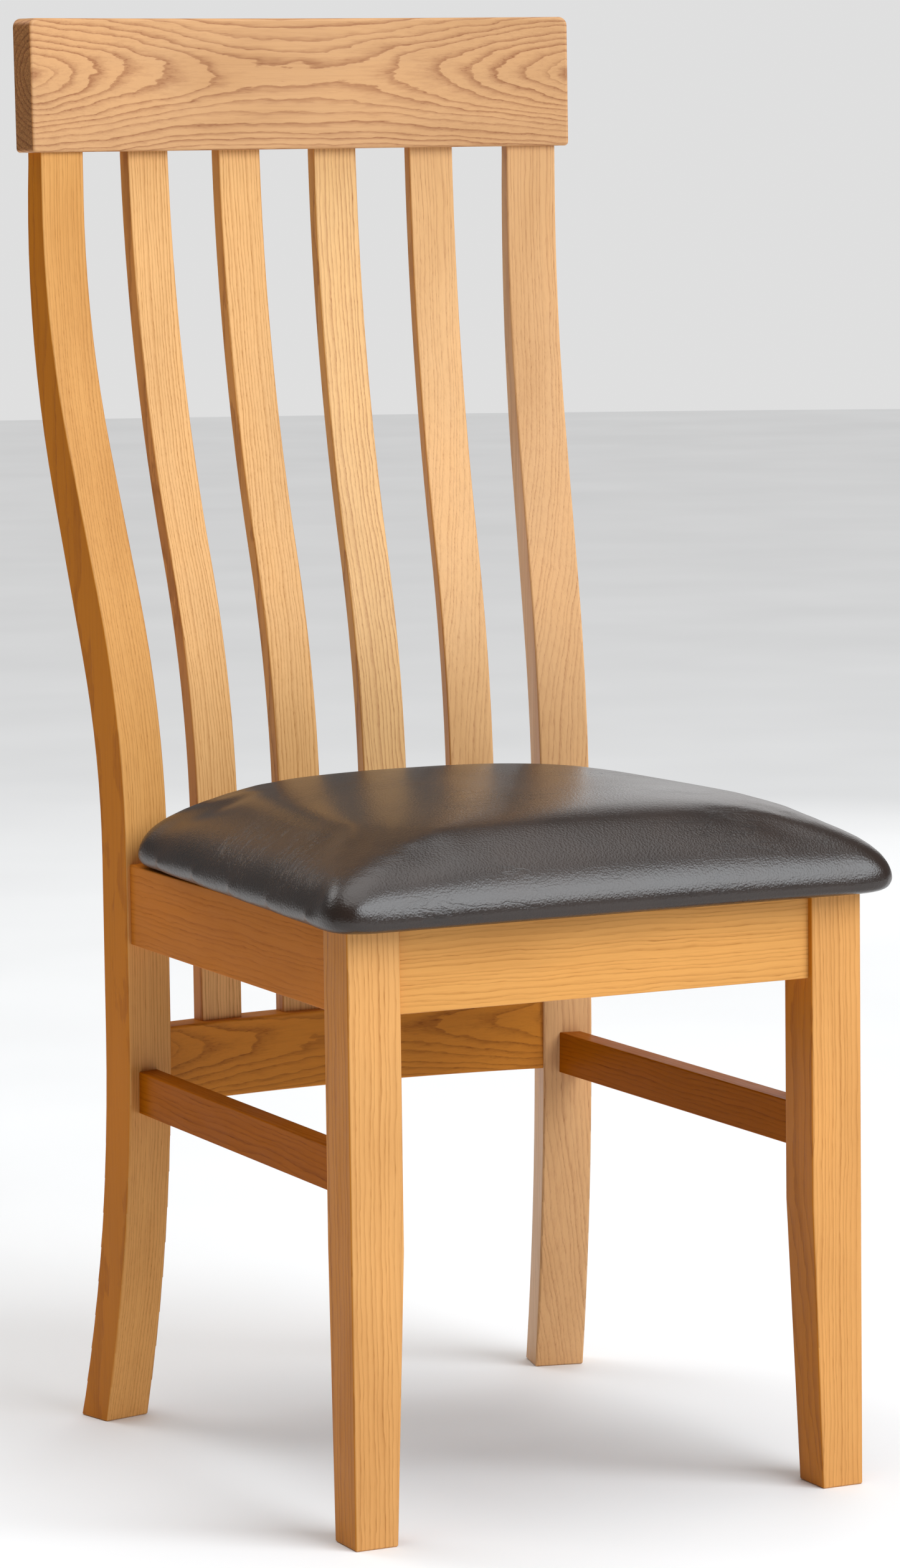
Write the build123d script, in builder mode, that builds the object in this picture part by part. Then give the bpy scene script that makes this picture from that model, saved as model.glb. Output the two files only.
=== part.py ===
from build123d import *
import os
from math import asin, cos, degrees, radians, sin

# Dining chair: a solid ash frame with a tall slatted back and an upholstered seat pad.
# Frame: +Z up, the sitter faces -Y, origin on the floor below the middle of the bounding box.
# All sizes are in millimetres.  The right-hand pieces are drawn and mirrored to the left.

# ---------------------------------------------------------------- driving dimensions
TOTAL_HEIGHT = 1026
FRONT_WIDTH = 390            # over the outside faces of the two front legs
FRONT_FACE_Y = -248.7        # front faces of the front legs
RAIL_TOP = 417.5
RAIL_HEIGHT = 58.5
RAIL_THICK = 21
RAIL_SETBACK = 5             # rails stand back from the outside faces of the legs
ARRIS = 1.5                  # eased edges of legs, rails and slats
TENON_THICK = 12
TENON_DROP = 8               # tenons are this much lower than the rail, top and bottom

FRONT_LEG = 38.8             # square section of a front leg
FOOT_WIDE, FOOT_DEEP = 31.5, 34
TAPER_HEIGHT = 200           # front legs taper below this height, on their two inside faces

# The back curves about a vertical axis in front of the chair.  Posts, slats, crest rail and
# lower back rail are placed by an angle about that axis and a radius from it.
BACK_AXIS_Y = -582.7
POST_ANGLE = 13.12
OUTER_SLAT_ANGLE, INNER_SLAT_ANGLE = 7.86, 2.65
POST_WIDE = 37.5
SEAT_RADIUS = 750.7          # front face of a rear leg, where it is upright, beside the seat
SEAT_BACK_RADIUS = 781.5       # back face of a rear leg at the same height

CREST_BOTTOM = 929.5
CREST_HALF_ANGLE = 15.07
CREST_RADIUS, CREST_THICK = 834.5, 22.5
CREST_LEAN = 1.4             # the crest rail's top stands this much further back
CREST_CORNER = 6.5
CREST_EASE = 2

SLAT_WIDE, SLAT_THICK = 34.3, 13
SLAT_RADIUS = 760          # front face of a slat at its foot
SLAT_TENON = (25, 8, 18)     # wide, thick, long

LOWER_RAIL_RADIUS, LOWER_RAIL_THICK = 754, 23
LOWER_RAIL_BOTTOM, LOWER_RAIL_TOP = 237.5, 294.5

STRETCHER_BOTTOM, STRETCHER_HEIGHT, STRETCHER_THICK = 234.2, 30.8, 17
STRETCHER_TENON, STRETCHER_TENON_LONG = (9, 6), 13      # (thick, drop) and length into the rear leg
REAR_RAIL_Y, REAR_RAIL_THICK = 139, 27

PAD_FRONT_Y, PAD_REAR_Y = -275.7, 141.5
PAD_FRONT_HALF, PAD_REAR_HALF = 214.5, 190
PAD_FRONT_CORNER, PAD_REAR_CORNER = 28, 30
CLOTH_THICK, LEATHER_THICK, BOARD_THICK = 0.6, 1.2, 12
# The pad's side is two quarter ellipses: a short one that tucks under, a long one up to the crown
TUCK_HIGH, TUCK_DEEP = 8, 9
CROWN_HIGH, CROWN_DEEP = 64, 100
BOARD_INSET, FLANGE_INSET, CLOTH_INSET, STAPLE_INSET = 11, 80, 70, 75

BLOCK_HEIGHT, BLOCK_WIDE = 38, 27
FRONT_BLOCK_GAP, REAR_BLOCK_GAP = 3, 9
SCREW_SHANK, SCREW_HEAD, SCREW_HEAD_HIGH = 4, 8.4, 2.8
RAIL_SCREW_LONG, RAIL_SCREW_SINK, SEAT_SCREW_SINK = 25, 5, 10
SEAT_SCREW_BITE = 0.7        # share of the board's thickness that a seat screw enters

# ---------------------------------------------------------------- derived values
HALF_FRONT = FRONT_WIDTH / 2
RAIL_BOTTOM = RAIL_TOP - RAIL_HEIGHT
LEG_INSIDE_X = HALF_FRONT - FRONT_LEG
LEG_BACK_Y = FRONT_FACE_Y + FRONT_LEG
FRONT_RAIL_Y = FRONT_FACE_Y + RAIL_SETBACK
FRONT_RAIL_BACK_Y = FRONT_RAIL_Y + RAIL_THICK
SIDE_RAIL_OUT_X = HALF_FRONT - RAIL_SETBACK
BOARD_BOTTOM = RAIL_TOP + LEATHER_THICK


def back_point(angle, radius, across=0.0):
    """Plan position at an angle and radius about the back's axis, and a distance across from it."""
    a = radians(angle)
    x = radius * sin(a) + across * cos(a)
    return x, BACK_AXIS_Y + radius * cos(a) - across * sin(a)


def back_plane(angle):
    """Upright plane through the back's axis: its x runs along the radius, its y is up."""
    a = radians(angle)
    return Plane(origin=(0, BACK_AXIS_Y, 0), x_dir=(sin(a), cos(a), 0), z_dir=(cos(a), -sin(a), 0))


def block_in_back(angle, radius, across, low, high, size_radius, size_across):
    """A box from low to high, centred on a radius and a distance across, turned with the back."""
    base = Plane(origin=(*back_point(angle, radius, across), low), x_dir=back_plane(angle).x_dir)
    with BuildPart(mode=Mode.PRIVATE) as box:
        with BuildSketch(base):
            Rectangle(size_radius, size_across)
        extrude(amount=high - low)
    return box.part


def prism(points, low, high):
    """An upright prism over a plan outline."""
    with BuildPart(mode=Mode.PRIVATE) as solid:
        with BuildSketch(Plane.XY.offset(low)):
            with BuildLine():
                Polyline(*points, close=True)
            make_face()
        extrude(amount=high - low)
    return solid.part


def long_edges(shape, least=100):
    """The long edges that run up a leg or a slat."""
    return shape.edges().filter_by(lambda e: abs((e % 0.5).Z) > 0.9 and e.length > least)


def save(builder, name):
    """Label a finished piece and write it out."""
    builder.part.label = name
    export_step(builder.part, f"parts/{name}.step")


os.makedirs("parts", exist_ok=True)

# ---------------------------------------------------------------- rear leg, without its mortises
POST_BEND, POST_BEND_TOP, POST_LEAN = 640.8, 614.1, 17.13
POST_BACK_BEND, POST_BACK_BEND_TOP, POST_BACK_LEAN = 540.4, 705.2, 15.4
POST_STRAIGHT, POST_BACK_STRAIGHT = 110.9, 122
POST_BACK_TURN = 19.8        # the back face ends turned slightly forward, so the post thins at its top
SABRE_START, SABRE_BEND = 295.2, 1145.7
SABRE_BACK_START, SABRE_BACK_BEND = 288.9, 1059.6
BEND_START = 420.8
POST_TENON = (24, 10, 25)
POST_TOP_RADIUS = 847        # middle of the post's top, where its tenon stands

with BuildPart() as rear_leg_blank:
    with BuildSketch(back_plane(POST_ANGLE)):
        with BuildLine():
            sabre_turn = degrees(asin(SABRE_START / SABRE_BEND))
            sabre_front = JernArc((SEAT_RADIUS, SABRE_START), (0, -1), SABRE_BEND, sabre_turn)
            Line((SEAT_RADIUS, SABRE_START), (SEAT_RADIUS, BEND_START))
            front_bend = JernArc((SEAT_RADIUS, BEND_START), (0, 1), POST_BEND, -POST_LEAN)
            front_lean = PolarLine(front_bend @ 1, POST_STRAIGHT, direction=front_bend % 1)
            front_top = JernArc(front_lean @ 1, front_lean % 1, POST_BEND_TOP, POST_LEAN)
            Line(front_top @ 1, ((front_top @ 1).X, CREST_BOTTOM))
            back_turn = degrees(asin(SABRE_BACK_START / SABRE_BACK_BEND))
            sabre_back = JernArc((SEAT_BACK_RADIUS, SABRE_BACK_START), (0, -1), SABRE_BACK_BEND, back_turn)
            Line((SEAT_BACK_RADIUS, SABRE_BACK_START), (SEAT_BACK_RADIUS, BEND_START))
            back_bend = JernArc((SEAT_BACK_RADIUS, BEND_START), (0, 1), POST_BACK_BEND, -POST_BACK_LEAN)
            back_lean = PolarLine(back_bend @ 1, POST_BACK_STRAIGHT, direction=back_bend % 1)
            back_top = JernArc(back_lean @ 1, back_lean % 1, POST_BACK_BEND_TOP, POST_BACK_TURN)
            Line(back_top @ 1, ((back_top @ 1).X, CREST_BOTTOM))
            Line(((front_top @ 1).X, CREST_BOTTOM), ((back_top @ 1).X, CREST_BOTTOM))
            Line(sabre_front @ 1, sabre_back @ 1)
        make_face()
    extrude(amount=POST_WIDE / 2, both=True)
    fillet(long_edges(rear_leg_blank, 30), ARRIS)

with BuildPart() as rear_leg_blank_left:
    mirror(rear_leg_blank.part, about=Plane.YZ)

# ---------------------------------------------------------------- front leg, without its mortises
with BuildPart() as front_leg_blank:
    with BuildSketch(Plane.XY.offset(TAPER_HEIGHT)) as leg_section:
        with Locations((HALF_FRONT, FRONT_FACE_Y)):
            Rectangle(FRONT_LEG, FRONT_LEG, align=(Align.MAX, Align.MIN))
    extrude(amount=RAIL_TOP - TAPER_HEIGHT)
    add(leg_section.sketch)
    with BuildSketch(Plane.XY):
        with Locations((HALF_FRONT, FRONT_FACE_Y)):
            Rectangle(FOOT_WIDE, FOOT_DEEP, align=(Align.MAX, Align.MIN))
    loft()
    fillet(long_edges(front_leg_blank), ARRIS)
    chamfer(front_leg_blank.faces().sort_by(Axis.Z)[0].edges(), 1)

# ---------------------------------------------------------------- front rail
FRONT_TENON, SIDE_TENON = 18, 16
SCRIBE_DEPTH = 8             # a bar's blank runs this far into a rear leg before it is scribed
TENON_HEIGHT = RAIL_HEIGHT - 2 * TENON_DROP
RAIL_ALIGN = (Align.CENTER, Align.CENTER, Align.MIN)

with BuildPart() as front_seat_rail:
    with Locations((0, FRONT_RAIL_Y + RAIL_THICK / 2, RAIL_BOTTOM)):
        Box(2 * LEG_INSIDE_X, RAIL_THICK, RAIL_HEIGHT, align=RAIL_ALIGN)
    fillet(front_seat_rail.edges().filter_by(Axis.X), 1)
    with Locations((0, FRONT_RAIL_Y + RAIL_THICK / 2, RAIL_BOTTOM + TENON_DROP)):
        Box(2 * (LEG_INSIDE_X + FRONT_TENON), TENON_THICK, TENON_HEIGHT, align=RAIL_ALIGN)

# ---------------------------------------------------------------- side rail and side stretcher
def side_bar(setback, thick, low, high, tenon_thick, tenon_drop, tenon_end):
    """A bar between the right front and rear legs, its rear shoulder scribed to the rear leg."""
    front_x = HALF_FRONT - setback
    rear_across = POST_WIDE / 2 - setback
    outline = [
        (front_x, LEG_BACK_Y),
        back_point(POST_ANGLE, SEAT_RADIUS + SCRIBE_DEPTH, rear_across),
        back_point(POST_ANGLE, SEAT_RADIUS + SCRIBE_DEPTH, rear_across - thick),
        (front_x - thick, LEG_BACK_Y),
    ]
    tenon_low, tenon_high = low + tenon_drop, high - tenon_drop
    with BuildPart() as bar:
        add(prism(outline, low, high))
        fillet(bar.edges().filter_by(lambda e: e.length > 100), 1)
        add(rear_leg_blank.part, mode=Mode.SUBTRACT)
        with Locations((front_x - thick / 2, LEG_BACK_Y + 1, tenon_low)):
            Box(tenon_thick, SIDE_TENON + 1, tenon_high - tenon_low, align=(Align.CENTER, Align.MAX, Align.MIN))
        tenon_middle = (SEAT_RADIUS - 1 + tenon_end) / 2
        tenon_long = tenon_end - SEAT_RADIUS + 1
        add(block_in_back(POST_ANGLE, tenon_middle, rear_across - thick / 2, tenon_low, tenon_high,
                          tenon_long, tenon_thick))
    return bar


right_seat_rail = side_bar(RAIL_SETBACK, RAIL_THICK, RAIL_BOTTOM, RAIL_TOP, TENON_THICK, TENON_DROP,
                           SEAT_RADIUS + SIDE_TENON)
right_stretcher = side_bar(2 * RAIL_SETBACK, STRETCHER_THICK, STRETCHER_BOTTOM,
                           STRETCHER_BOTTOM + STRETCHER_HEIGHT, *STRETCHER_TENON,
                           SEAT_RADIUS + STRETCHER_TENON_LONG)

# ---------------------------------------------------------------- rear seat rail
POST_INSIDE_X = back_point(POST_ANGLE, SEAT_RADIUS, -POST_WIDE / 2)[0]
REAR_SCRIBE, REAR_TENON, REAR_TENON_THICK = 5, 10, 7

with BuildPart() as rear_seat_rail:
    with Locations((0, REAR_RAIL_Y, RAIL_BOTTOM)):
        Box(2 * (POST_INSIDE_X + REAR_SCRIBE), REAR_RAIL_THICK, RAIL_HEIGHT, align=(Align.CENTER, Align.MIN, Align.MIN))
    fillet(rear_seat_rail.edges().filter_by(Axis.X), 1)
    add(rear_leg_blank.part, mode=Mode.SUBTRACT)
    add(rear_leg_blank_left.part, mode=Mode.SUBTRACT)
    with Locations((0, REAR_RAIL_Y + REAR_RAIL_THICK / 2, RAIL_BOTTOM + TENON_DROP)):
        Box(2 * (POST_INSIDE_X + REAR_TENON), REAR_TENON_THICK, TENON_HEIGHT, align=RAIL_ALIGN)

# ---------------------------------------------------------------- back slats
SLAT_BEND, SLAT_BEND_TOP, SLAT_LEAN, SLAT_TOP_LEAN = 713.2, 1161, 17.26, 2.5
SLAT_BEND_START = 420.8


def make_slat(angle):
    """A curved slat with a tenon at each end."""
    wide, thick, long = SLAT_TENON
    with BuildPart() as slat:
        with BuildSketch(back_plane(angle)):
            with BuildLine():
                ends = []
                for radius in (SLAT_RADIUS, SLAT_RADIUS + SLAT_THICK):
                    Line((radius, LOWER_RAIL_TOP), (radius, SLAT_BEND_START))
                    low_bend = JernArc((radius, SLAT_BEND_START), (0, 1), SLAT_BEND, -SLAT_LEAN)
                    turn = SLAT_LEAN - SLAT_TOP_LEAN
                    top_bend = JernArc(low_bend @ 1, low_bend % 1, SLAT_BEND_TOP, turn)
                    ends.append(((top_bend @ 1).X, CREST_BOTTOM))
                    Line(top_bend @ 1, ends[-1])
                Line(*ends)
                Line((SLAT_RADIUS, LOWER_RAIL_TOP), (SLAT_RADIUS + SLAT_THICK, LOWER_RAIL_TOP))
            make_face()
        extrude(amount=SLAT_WIDE / 2, both=True)
        fillet(long_edges(slat), ARRIS)
        foot_middle = SLAT_RADIUS + SLAT_THICK / 2
        top_middle = ends[0][0] + SLAT_THICK / 2
        add(block_in_back(angle, foot_middle, 0, LOWER_RAIL_TOP - long, LOWER_RAIL_TOP, thick, wide))
        add(block_in_back(angle, top_middle, 0, CREST_BOTTOM, CREST_BOTTOM + long, thick, wide))
    return slat


SLATS = {
    "back_slat_outer_left": -OUTER_SLAT_ANGLE,
    "back_slat_inner_left": -INNER_SLAT_ANGLE,
    "back_slat_inner_right": INNER_SLAT_ANGLE,
    "back_slat_outer_right": OUTER_SLAT_ANGLE,
}
slats = {name: make_slat(angle) for name, angle in SLATS.items()}

# ---------------------------------------------------------------- lower back rail
LOWER_RAIL_SHOULDER, LOWER_RAIL_TENON = 12.1, 12.5      # half angles of the rail and of its tenons
BACK_AXIS = Axis((0, BACK_AXIS_Y, 0), (0, 0, 1))
LOWER_TENON_INSET = 6

with BuildPart() as lower_back_rail:
    with BuildSketch(back_plane(LOWER_RAIL_SHOULDER)):
        with Locations((LOWER_RAIL_RADIUS, LOWER_RAIL_BOTTOM)):
            Rectangle(LOWER_RAIL_THICK, LOWER_RAIL_TOP - LOWER_RAIL_BOTTOM, align=(Align.MIN, Align.MIN))
    revolve(axis=BACK_AXIS, revolution_arc=2 * LOWER_RAIL_SHOULDER)
    fillet(lower_back_rail.edges().filter_by(lambda e: e.length > 100), CREST_EASE)
    add(rear_leg_blank.part, mode=Mode.SUBTRACT)
    add(rear_leg_blank_left.part, mode=Mode.SUBTRACT)
    with BuildSketch(back_plane(LOWER_RAIL_TENON)):
        with Locations((LOWER_RAIL_RADIUS + LOWER_TENON_INSET, LOWER_RAIL_BOTTOM + TENON_DROP)):
            Rectangle(LOWER_RAIL_THICK - 2 * LOWER_TENON_INSET,
                      LOWER_RAIL_TOP - LOWER_RAIL_BOTTOM - 2 * TENON_DROP, align=(Align.MIN, Align.MIN))
    revolve(axis=BACK_AXIS, revolution_arc=2 * LOWER_RAIL_TENON)
    for slat in slats.values():
        add(slat.part, mode=Mode.SUBTRACT)

# ---------------------------------------------------------------- legs with their joints
with BuildPart() as rear_leg_right:
    add(rear_leg_blank.part)
    wide, thick, long = POST_TENON
    add(block_in_back(POST_ANGLE, POST_TOP_RADIUS, 0, CREST_BOTTOM, CREST_BOTTOM + long, thick, wide))
    for joined in (right_seat_rail, right_stretcher, rear_seat_rail, lower_back_rail):
        add(joined.part, mode=Mode.SUBTRACT)
    chamfer(rear_leg_right.faces().sort_by(Axis.Z)[0].edges(), 1)

with BuildPart() as rear_leg_left:
    mirror(rear_leg_right.part, about=Plane.YZ)

with BuildPart() as front_leg_right:
    add(front_leg_blank.part)
    for joined in (front_seat_rail, right_seat_rail, right_stretcher):
        add(joined.part, mode=Mode.SUBTRACT)

with BuildPart() as front_leg_left:
    mirror(front_leg_right.part, about=Plane.YZ)

with BuildPart() as left_stretcher:
    mirror(right_stretcher.part, about=Plane.YZ)

# ---------------------------------------------------------------- crest rail
with BuildPart() as crest_rail:
    with BuildSketch(back_plane(CREST_HALF_ANGLE)):
        with BuildLine():
            Polyline(
                (CREST_RADIUS, CREST_BOTTOM),
                (CREST_RADIUS + CREST_THICK, CREST_BOTTOM),
                (CREST_RADIUS + CREST_THICK + CREST_LEAN, TOTAL_HEIGHT),
                (CREST_RADIUS + CREST_LEAN, TOTAL_HEIGHT),
                close=True,
            )
        make_face()
    revolve(axis=BACK_AXIS, revolution_arc=2 * CREST_HALF_ANGLE)
    across_ends = crest_rail.edges().filter_by(lambda e: e.length < CREST_THICK + 1)
    fillet(across_ends.group_by(Axis.Z)[-1], CREST_CORNER)
    across_ends = crest_rail.edges().filter_by(lambda e: abs(e.length - CREST_THICK) < 0.1)
    fillet(across_ends.group_by(Axis.Z)[0], CREST_EASE + 1)
    outline = crest_rail.edges().filter_by(lambda e: abs(e.length - CREST_THICK) > 0.5)
    fillet(outline, CREST_EASE)
    for joined in (*slats.values(), rear_leg_right, rear_leg_left):
        add(joined.part, mode=Mode.SUBTRACT)

# ---------------------------------------------------------------- corner blocks and their screws
def meet(total, sign, a, b):
    """Where the line x + sign * y = total crosses the line through the plan points a and b."""
    at_a = a[0] + sign * a[1]
    at_b = b[0] + sign * b[1]
    t = (total - at_a) / (at_b - at_a)
    return a[0] + t * (b[0] - a[0]), a[1] + t * (b[1] - a[1])


def middle(a, b):
    """The point halfway between two plan points."""
    return (a[0] + b[0]) / 2, (a[1] + b[1]) / 2


def screw(seat, length):
    """A pan-head screw: the head stands on the seat plane and the shank runs along its normal."""
    with BuildPart(mode=Mode.PRIVATE) as part:
        with BuildSketch(seat):
            Circle(SCREW_SHANK / 2)
        extrude(amount=length)
        rings = part.edges().filter_by(GeomType.CIRCLE)
        chamfer(rings.sort_by_distance(seat.origin + seat.z_dir * length)[0], SCREW_SHANK / 4)
        with BuildSketch(seat):
            Circle(SCREW_HEAD / 2)
        extrude(amount=-SCREW_HEAD_HIGH)
        with BuildSketch(seat.offset(-SCREW_HEAD_HIGH)):
            Rectangle(SCREW_HEAD / 2, 1)
            Rectangle(1, SCREW_HEAD / 2)
        extrude(amount=SCREW_HEAD_HIGH / 2, mode=Mode.SUBTRACT)
    return part.part


def head_room(seat):
    """The hole that lets a screw's head in below the face of a block."""
    with BuildPart(mode=Mode.PRIVATE) as hole:
        with BuildSketch(seat):
            Circle(SCREW_HEAD / 2 + 0.5)
        extrude(amount=-30)
    return hole.part


BLOCK_BOTTOM = RAIL_TOP - BLOCK_HEIGHT
SIDE_INSIDE = [
    (SIDE_RAIL_OUT_X - RAIL_THICK, LEG_BACK_Y),
    back_point(POST_ANGLE, SEAT_RADIUS + SCRIBE_DEPTH, POST_WIDE / 2 - RAIL_SETBACK - RAIL_THICK),
]


def make_corner(end_y, leg_corner, sign, gap):
    """A right-hand corner block, its two rail screws and its seat screw.

    The block runs diagonally from the cross rail, whose inside face is at end_y, to the side rail,
    and its outer face passes a gap (along x plus y) from the leg's inside corner.
    """
    outer = leg_corner[0] + sign * leg_corner[1] - gap
    inner = outer - BLOCK_WIDE * 2 ** 0.5
    cross_rail = [(outer - sign * end_y, end_y), (inner - sign * end_y, end_y)]
    side_rail = [meet(outer, sign, *SIDE_INSIDE), meet(inner, sign, *SIDE_INSIDE)]
    height = (RAIL_TOP + BLOCK_BOTTOM) / 2
    cross_x = middle(*cross_rail)[0]
    side_y = middle(*side_rail)[1]
    cross_seat = Plane((cross_x, sign * (inner - cross_x + RAIL_SCREW_SINK), height), z_dir=(0, sign, 0))
    side_seat = Plane((inner - sign * side_y + RAIL_SCREW_SINK, side_y, height), z_dir=(1, 0, 0))
    seat_z = BLOCK_BOTTOM + SEAT_SCREW_SINK
    seat_seat = Plane((*middle(middle(*cross_rail), middle(*side_rail)), seat_z))
    rail_screws = [screw(cross_seat, RAIL_SCREW_LONG), screw(side_seat, RAIL_SCREW_LONG)]
    seat_screw = screw(seat_seat, BOARD_BOTTOM + BOARD_THICK * SEAT_SCREW_BITE - seat_z)
    with BuildPart() as block:
        add(prism([cross_rail[0], side_rail[0], side_rail[1], cross_rail[1]], BLOCK_BOTTOM, RAIL_TOP))
        for seat in (cross_seat, side_seat, seat_seat):
            add(head_room(seat), mode=Mode.SUBTRACT)
        for item in (*rail_screws, seat_screw):
            add(item, mode=Mode.SUBTRACT)
    return block, rail_screws, seat_screw


front_corner = make_corner(FRONT_RAIL_BACK_Y, (LEG_INSIDE_X, LEG_BACK_Y), -1, FRONT_BLOCK_GAP)
rear_corner = make_corner(REAR_RAIL_Y, back_point(POST_ANGLE, SEAT_RADIUS, -POST_WIDE / 2), 1, REAR_BLOCK_GAP)
corner_block_front_right, front_rail_screws, front_seat_screw = front_corner
corner_block_rear_right, rear_rail_screws, rear_seat_screw = rear_corner

with BuildPart() as corner_block_front_left:
    mirror(corner_block_front_right.part, about=Plane.YZ)

with BuildPart() as corner_block_rear_left:
    mirror(corner_block_rear_right.part, about=Plane.YZ)

with BuildPart() as corner_block_screws:
    add(front_rail_screws + rear_rail_screws)
    mirror(corner_block_screws.part, about=Plane.YZ)

with BuildPart() as seat_screws:
    add([front_seat_screw, rear_seat_screw])
    mirror(seat_screws.part, about=Plane.YZ)

for rail in (front_seat_rail, right_seat_rail, rear_seat_rail):
    with rail:
        add(corner_block_screws.part, mode=Mode.SUBTRACT)

with BuildPart() as left_seat_rail:
    mirror(right_seat_rail.part, about=Plane.YZ)

# ---------------------------------------------------------------- seat pad
def pad_outline(inset, height):
    """The pad's rounded plan outline, a distance in from its widest line."""
    with BuildSketch(Plane.XY.offset(height), mode=Mode.PRIVATE) as outline:
        front_y, rear_y = PAD_FRONT_Y + inset, PAD_REAR_Y - inset
        front_x, rear_x = PAD_FRONT_HALF - inset, PAD_REAR_HALF - inset
        with BuildLine():
            Polyline((-front_x, front_y), (front_x, front_y), (rear_x, rear_y), (-rear_x, rear_y), close=True)
        make_face()
        fillet(outline.vertices().group_by(Axis.Y)[0], PAD_FRONT_CORNER + 0.3 * inset)
        fillet(outline.vertices().group_by(Axis.Y)[-1], PAD_REAR_CORNER + 0.3 * inset)
    return outline.sketch


def pad_form(skin):
    """The pad's closed form; a skin thickness brings every face in by that much."""
    tuck = [(a, TUCK_HIGH, TUCK_DEEP) for a in (-90, -45)]
    crown = [(a, CROWN_HIGH, CROWN_DEEP) for a in range(0, 91, 15)]
    with BuildPart(mode=Mode.PRIVATE) as form:
        for angle, high, deep in tuck + crown:
            rise = TUCK_HIGH + (high - skin) * sin(radians(angle))
            inset = skin + (deep - skin) * (1 - cos(radians(angle)))
            add(pad_outline(inset, RAIL_TOP + rise))
        loft(ruled=True)
    return form.part


def pad_layer(inset, low, high):
    """A flat layer that follows the pad's outline."""
    with BuildPart(mode=Mode.PRIVATE) as layer:
        add(pad_outline(inset, low))
        extrude(amount=high - low)
    return layer.part


with BuildPart() as seat_board:
    add(pad_layer(BOARD_INSET, BOARD_BOTTOM, BOARD_BOTTOM + BOARD_THICK))
    add(seat_screws.part, mode=Mode.SUBTRACT)

with BuildPart() as seat_foam:
    add(pad_form(LEATHER_THICK))
    add(pad_layer(BOARD_INSET, BOARD_BOTTOM, BOARD_BOTTOM + BOARD_THICK), mode=Mode.SUBTRACT)

with BuildPart() as seat_cover:
    add(pad_form(0))
    add(pad_form(LEATHER_THICK), mode=Mode.SUBTRACT)
    add(pad_layer(FLANGE_INSET, RAIL_TOP, BOARD_BOTTOM), mode=Mode.SUBTRACT)
    add(seat_screws.part, mode=Mode.SUBTRACT)

with BuildPart() as seat_dust_cloth:
    add(pad_layer(CLOTH_INSET, RAIL_TOP - CLOTH_THICK, RAIL_TOP))
    add(seat_screws.part, mode=Mode.SUBTRACT)

# ---------------------------------------------------------------- staples of the dust cloth
STAPLE_WIDE, STAPLE_WIRE, STAPLE_LEG = 10, 0.8, 6
STAPLE_ROWS = [                # start and end of each row, and the number of staples in it
    ((-95, PAD_FRONT_Y + STAPLE_INSET), (95, PAD_FRONT_Y + STAPLE_INSET), 5),
    ((-85, PAD_REAR_Y - STAPLE_INSET), (85, PAD_REAR_Y - STAPLE_INSET), 5),
    ((132, -150), (122, 25), 5),
    ((-132, -150), (-122, 25), 5),
]

with BuildPart() as dust_cloth_staples:
    for start, end, count in STAPLE_ROWS:
        row = Vector(*end) - Vector(*start)
        for index in range(count):
            spot = Vector(*start) + row * (index / (count - 1))
            lie = Plane(origin=(spot.X, spot.Y, RAIL_TOP - CLOTH_THICK), x_dir=row)
            with Locations(lie):
                Box(STAPLE_WIDE, STAPLE_WIRE, STAPLE_WIRE, align=(Align.CENTER, Align.CENTER, Align.MAX))
                for side in (-1, 1):
                    with Locations((side * (STAPLE_WIDE - STAPLE_WIRE) / 2, 0)):
                        Box(STAPLE_WIRE, STAPLE_WIRE, STAPLE_LEG, align=RAIL_ALIGN)

for layer in (seat_board, seat_cover, seat_dust_cloth):
    with layer:
        add(dust_cloth_staples.part, mode=Mode.SUBTRACT)

# ---------------------------------------------------------------- write every piece
nodes = {
    "front_leg_left": front_leg_left,
    "front_leg_right": front_leg_right,
    "rear_leg_left": rear_leg_left,
    "rear_leg_right": rear_leg_right,
    "crest_rail": crest_rail,
    "lower_back_rail": lower_back_rail,
    "front_seat_rail": front_seat_rail,
    "rear_seat_rail": rear_seat_rail,
    "left_seat_rail": left_seat_rail,
    "right_seat_rail": right_seat_rail,
    "left_stretcher": left_stretcher,
    "right_stretcher": right_stretcher,
    "corner_block_front_left": corner_block_front_left,
    "corner_block_front_right": corner_block_front_right,
    "corner_block_rear_left": corner_block_rear_left,
    "corner_block_rear_right": corner_block_rear_right,
    "corner_block_screws": corner_block_screws,
    "seat_screws": seat_screws,
    "seat_board": seat_board,
    "seat_foam": seat_foam,
    "seat_cover": seat_cover,
    "seat_dust_cloth": seat_dust_cloth,
    "dust_cloth_staples": dust_cloth_staples,
    **slats,
}
for name, builder in nodes.items():
    save(builder, name)
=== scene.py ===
from math import cos, pi, radians, sin

import bmesh
import bpy
from mathutils import Matrix, Vector


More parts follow.
